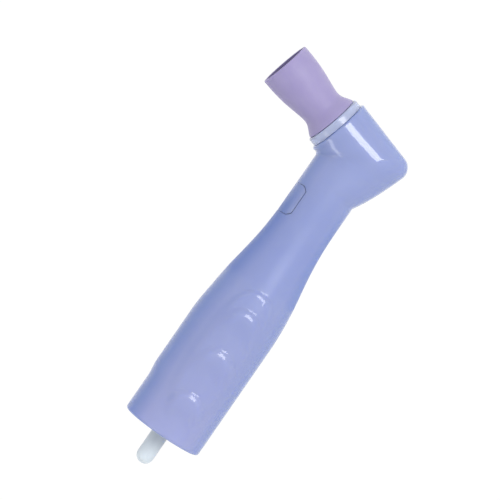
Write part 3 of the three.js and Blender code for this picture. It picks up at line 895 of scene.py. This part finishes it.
def noise(tree, place, size_mm, detail=3.0, stretch=None):
    """Noise whose lumps are about this size."""
    if stretch:
        mapping = tree.nodes.new("ShaderNodeMapping")
        mapping.inputs["Scale"].default_value = stretch
        tree.links.new(place, mapping.inputs["Vector"])
        place = mapping.outputs["Vector"]
    texture = tree.nodes.new("ShaderNodeTexNoise")
    texture.inputs["Scale"].default_value = 1 / (size_mm * MM)
    texture.inputs["Detail"].default_value = detail
    tree.links.new(place, texture.inputs["Vector"])
    return texture.outputs["Fac"]


def spanned(tree, value, low, high, start=0.3, end=0.7):
    node = tree.nodes.new("ShaderNodeMapRange")
    node.inputs["From Min"].default_value = start
    node.inputs["From Max"].default_value = end
    node.inputs["To Min"].default_value = low
    node.inputs["To Max"].default_value = high
    tree.links.new(value, node.inputs["Value"])
    return node.outputs["Result"]


def blended(tree, value, first, second):
    """Colour between two, by a value from 0 to 1. Each colour is a tuple or an output."""
    node = tree.nodes.new("ShaderNodeMix")
    node.data_type = "RGBA"
    sockets = [s for s in node.inputs if s.type == "RGBA"]
    for socket, colour in zip(sockets, (first, second)):
        if isinstance(colour, tuple):
            socket.default_value = (*colour, 1)
        else:
            tree.links.new(colour, socket)
    tree.links.new(value, node.inputs["Factor"])
    return next(s for s in node.outputs if s.type == "RGBA")


def bump(tree, shader, heights):
    """Stacks bumps of (height, depth in millimetres) on a shader's normal."""
    normal = None
    for height, depth in heights:
        node = tree.nodes.new("ShaderNodeBump")
        node.inputs["Distance"].default_value = depth * MM
        node.inputs["Strength"].default_value = 1
        tree.links.new(height, node.inputs["Height"])
        if normal:
            tree.links.new(normal, node.inputs["Normal"])
        normal = node.outputs["Normal"]
    tree.links.new(normal, shader.inputs["Normal"])


def maths(tree, operation, first, second):
    """One value from two. The second is a number or an output."""
    node = tree.nodes.new("ShaderNodeMath")
    node.operation = operation
    tree.links.new(first, node.inputs[0])
    if isinstance(second, (int, float)):
        node.inputs[1].default_value = second
    else:
        tree.links.new(second, node.inputs[1])
    return node.outputs["Value"]


def vector_maths(tree, operation, first, second=None):
    node = tree.nodes.new("ShaderNodeVectorMath")
    node.operation = operation
    tree.links.new(first, node.inputs[0])
    if second:
        node.inputs[1].default_value = second
    return node.outputs["Value" if operation in ("DOT_PRODUCT", "LENGTH") else "Vector"]


def along_handle(tree, place):
    """Millimetres from the rear rim along the handle."""
    return maths(tree, "SUBTRACT", vector_maths(tree, "DOT_PRODUCT", place, ALONG / MM), REAR.dot(ALONG) / MM)


def flatness(tree):
    """One where the surface lies along the flat sides of the angle, none where it stands square to them."""
    normal = tree.nodes.new("ShaderNodeTexCoord").outputs["Normal"]
    return maths(tree, "ABSOLUTE", vector_maths(tree, "DOT_PRODUCT", normal, FACING), 0)


def set_shader(shader, **values):
    for name, value in values.items():
        shader.inputs[name.replace("_", " ")].default_value = value


def absorbing(tree, colour, density):
    """Clear plastic that tints the light that goes through it, with density per millimetre."""
    volume = tree.nodes.new("ShaderNodeVolumeAbsorption")
    volume.inputs["Color"].default_value = (*colour, 1)
    volume.inputs["Density"].default_value = density / MM
    output = next(n for n in tree.nodes if n.type == "OUTPUT_MATERIAL")
    tree.links.new(volume.outputs["Volume"], output.inputs["Volume"])


def body_material(name):
    material, tree, shader, place = node_material(name)
    cloud = noise(tree, place, 5, 2)
    haze = blended(tree, spanned(tree, cloud, 0, 1), (0.295, 0.355, 0.66), (0.315, 0.375, 0.67))
    rearward = spanned(tree, along_handle(tree, place), 0.55, 0, 2, 26)
    colour = blended(tree, rearward, haze, (0.42, 0.44, 0.71))
    # Painted shade: surfaces that stand square to the flat sides are tinted a deeper blue, standing in for
    # the shade along the shell's outline.
    edge_shade = spanned(tree, flatness(tree), 1, 0, 0.45, 0.79)
    colour = blended(tree, edge_shade, colour, (0.205, 0.29, 0.645))
    tree.links.new(colour, shader.inputs["Base Color"])
    tree.links.new(spanned(tree, noise(tree, place, 1.4, 4), 0.33, 0.39), shader.inputs["Roughness"])
    bump(tree, shader, [(noise(tree, place, 3.2, 1), 0.02)])
    # The gloss changes along the handle, where the photo's highlights begin and end.
    grip_gloss = spanned(tree, along_handle(tree, place), 0.6, 0, 21.9, 22.7)
    head_gloss = spanned(tree, along_handle(tree, place), 0, 1, 33, 38)
    tree.links.new(maths(tree, "ADD", grip_gloss, head_gloss), shader.inputs["Coat Weight"])
    set_shader(
        shader,
        IOR=1.5,
        Specular_IOR_Level=0.12,
        Transmission_Weight=0.3,
        Coat_Roughness=0.05,
        Coat_IOR=1.5,
        Subsurface_Weight=0.35,
        Subsurface_Radius=(0.9, 1.0, 1.5),
        Subsurface_Scale=MM,
    )
    absorbing(tree, (0.28, 0.34, 0.8), 0.25)
    return material


def shank_material(name):
    material, tree, shader, place = node_material(name)
    streaks = noise(tree, place, 1.1, 4, (0.25, 1, 1))
    colour = blended(tree, spanned(tree, streaks, 0, 1), (0.55, 0.61, 0.66), (0.6, 0.655, 0.7))
    tree.links.new(colour, shader.inputs["Base Color"])
    tree.links.new(spanned(tree, streaks, 0.34, 0.46), shader.inputs["Roughness"])
    bump(tree, shader, [(noise(tree, place, 0.3, 3), 0.004)])
    set_shader(
        shader,
        IOR=1.5,
        Subsurface_Weight=0.6,
        Subsurface_Radius=(1.0, 1.05, 1.1),
        Subsurface_Scale=MM,
    )
    return material


def gear_material(name):
    material, tree, shader, place = node_material(name)
    cloud = noise(tree, place, 1.2, 4)
    colour = blended(tree, spanned(tree, cloud, 0, 1), (0.75, 0.76, 0.79), (0.82, 0.83, 0.85))
    tree.links.new(colour, shader.inputs["Base Color"])
    tree.links.new(spanned(tree, cloud, 0.38, 0.5), shader.inputs["Roughness"])
    bump(tree, shader, [(noise(tree, place, 0.25, 3), 0.004)])
    set_shader(shader, Subsurface_Weight=0.3, Subsurface_Radius=(0.6, 0.6, 0.6), Subsurface_Scale=MM)
    return material


def cap_material(name):
    material, tree, shader, place = node_material(name)
    cloud = noise(tree, place, 1.5, 3)
    colour = blended(tree, spanned(tree, cloud, 0, 1), (0.62, 0.69, 0.96), (0.66, 0.73, 0.97))
    tree.links.new(colour, shader.inputs["Base Color"])
    tree.links.new(spanned(tree, cloud, 0.16, 0.24), shader.inputs["Roughness"])
    bump(tree, shader, [(noise(tree, place, 0.9, 2), 0.006)])
    set_shader(shader, IOR=1.5, Transmission_Weight=0.55)
    absorbing(tree, (0.6, 0.7, 0.9), 0.05)
    return material


def seal_material(name):
    material, tree, shader, place = node_material(name)
    cloud = noise(tree, place, 0.4, 4)
    colour = blended(tree, spanned(tree, cloud, 0, 1), (0.45, 0.48, 0.55), (0.52, 0.55, 0.61))
    tree.links.new(colour, shader.inputs["Base Color"])
    tree.links.new(spanned(tree, cloud, 0.5, 0.65), shader.inputs["Roughness"])
    bump(tree, shader, [(cloud, 0.006)])
    return material


def cup_material(name):
    material, tree, shader, place = node_material(name)
    cloud = noise(tree, place, 2.4, 3)
    colour = blended(tree, spanned(tree, cloud, 0, 1), (0.275, 0.24, 0.44), (0.295, 0.26, 0.455))
    # Painted shade: the inside of the cup, within its wall and above its floor, is darkened where shade falls
    # in it.
    from_head = vector_maths(tree, "SUBTRACT", place, Vector(joints["cup_spin"]["pos_m"]))
    height = vector_maths(tree, "DOT_PRODUCT", from_head, CUP_AXIS / MM)
    radius = vector_maths(tree, "LENGTH", vector_maths(tree, "CROSS_PRODUCT", from_head, CUP_AXIS / MM))
    flared = maths(tree, "SUBTRACT", radius, maths(tree, "MULTIPLY", height, 0.145))
    within_wall = spanned(tree, flared, 1, 0, 0.95, 1.3)
    past_floor = spanned(tree, height, 0, 1, 8, 8.3)
    hollow_shade = maths(tree, "MULTIPLY", within_wall, past_floor)
    colour = blended(tree, hollow_shade, colour, (0.15, 0.125, 0.27))
    tree.links.new(colour, shader.inputs["Base Color"])
    grain = noise(tree, place, 0.16, 4)
    tree.links.new(spanned(tree, grain, 0.5, 0.62), shader.inputs["Roughness"])
    bump(tree, shader, [
        (noise(tree, place, 1.6, 1), 0.012),
        (grain, 0.005),
    ])
    set_shader(
        shader,
        Subsurface_Weight=0.5,
        Subsurface_Radius=(1.0, 0.8, 1.3),
        Subsurface_Scale=0.6 * MM,
        Sheen_Weight=0.15,
    )
    return material


# ---------------------------------------------------------------- assembly

body_plastic = body_material("body_plastic")
shank_plastic = shank_material("shank_plastic")
gear_plastic = gear_material("gear_plastic")

for maker, node, body, slot, material in (
    (make_housing, "housing", "body", "body_plastic", body_plastic),
    (make_bushing, "shaft_bushing", "body", "bushing_plastic", body_plastic),
    (make_drive_shaft, "drive_shaft", "drive", "shank_plastic", shank_plastic),
    (make_rotor, "rotor", "cup", "gear_plastic", gear_plastic),
    (make_washer, "thrust_washer", "body", "washer_plastic", gear_plastic),
    (make_cap, "head_cap", "body", "cap_plastic", cap_material("cap_plastic")),
    (make_seal, "seal_ring", "body", "seal_rubber", seal_material("seal_rubber")),
    (make_cup, "prophy_cup", "cup", "cup_rubber", cup_material("cup_rubber")),
):
    piece = finished(maker(), node, body, material)
    piece.name = node + "_look"

# ---------------------------------------------------------------- stage, light and camera


def floor_material():
    material = bpy.data.materials.new("floor_white")
    material.use_nodes = True
    shader = next(n for n in material.node_tree.nodes if n.type == "BSDF_PRINCIPLED")
    shader.inputs["Base Color"].default_value = (0.02, 0.02, 0.02, 1)
    shader.inputs["Roughness"].default_value = 0.9
    shader.inputs["Specular IOR Level"].default_value = 0.0
    shader.inputs["Emission Color"].default_value = (1, 1, 1, 1)
    shader.inputs["Emission Strength"].default_value = 1.0
    return material


FLOOR_HALF = 0.6
floor_corners = [
    (-FLOOR_HALF, -FLOOR_HALF, 0),
    (FLOOR_HALF, -FLOOR_HALF, 0),
    (FLOOR_HALF, FLOOR_HALF, 0),
    (-FLOOR_HALF, FLOOR_HALF, 0),
]
floor_mesh = bpy.data.meshes.new("floor")
floor_mesh.from_pydata(floor_corners, [], [(0, 1, 2, 3)])
floor_mesh.materials.append(floor_material())
floor = bpy.data.objects.new("floor", floor_mesh)
bpy.context.scene.collection.objects.link(floor)

# The view looks straight down on the flat side, leaning a little towards the cup.
VIEW_LEAN = math.radians(7)
UPRIGHT = math.radians(55.37)
TARGET = PLACE @ Vector((25.8, 3.95, 0))
CAMERA_DISTANCE = 0.26875
towards_camera = FACING * math.cos(VIEW_LEAN) + SIDE * math.sin(VIEW_LEAN)
cupward = towards_camera.cross(ALONG)
right = ALONG * math.cos(UPRIGHT) - cupward * math.sin(UPRIGHT)
upward = ALONG * math.sin(UPRIGHT) + cupward * math.cos(UPRIGHT)

camera_data = bpy.data.cameras.new("camera")
camera_data.lens = 150
camera_data.sensor_width = 36
camera_data.clip_start = 0.01
camera_data.clip_end = 5
camera = bpy.data.objects.new("camera", camera_data)
camera.matrix_world = columns(right, upward, towards_camera, TARGET + towards_camera * CAMERA_DISTANCE)
bpy.context.scene.collection.objects.link(camera)
bpy.context.scene.camera = camera


def softbox(name, direction, width, height, power):
    """A light aimed at the target, its width across the head and its height along it."""
    light = bpy.data.lights.new(name, "AREA")
    light.shape = "RECTANGLE"
    light.size = width
    light.size_y = height
    light.energy = power
    holder = bpy.data.objects.new(name, light)
    back = direction.normalized()
    sideways = (across_head - back * across_head.dot(back)).normalized()
    holder.matrix_world = columns(sideways, back.cross(sideways), back, TARGET + back * LIGHT_DISTANCE)
    bpy.context.scene.collection.objects.link(holder)
    return holder


# Both lights stand off to either side of the head, so that it carries long highlights.
LIGHT_DISTANCE = 0.4
KEY_OFF = math.radians(29)
KEY_HEELWARD = 0.2
FILL_OFF = math.radians(58)
across_head = (right * 0.755 + upward * 0.655).normalized()
softbox(
    "key",
    towards_camera * math.cos(KEY_OFF) + across_head * math.sin(KEY_OFF) - CUP_AXIS * KEY_HEELWARD,
    0.16, 0.22, 0.95,
)
softbox(
    "fill",
    towards_camera * math.cos(FILL_OFF) - across_head * math.sin(FILL_OFF),
    0.1, 0.2, 0.2,
)

world = bpy.data.worlds.new("studio")
world.use_nodes = True
backdrop = next(n for n in world.node_tree.nodes if n.type == "BACKGROUND")
backdrop.inputs["Color"].default_value = (1, 1, 1, 1)
backdrop.inputs["Strength"].default_value = 0.85
bpy.context.scene.world = world
bpy.context.scene.view_settings.view_transform = "Standard"
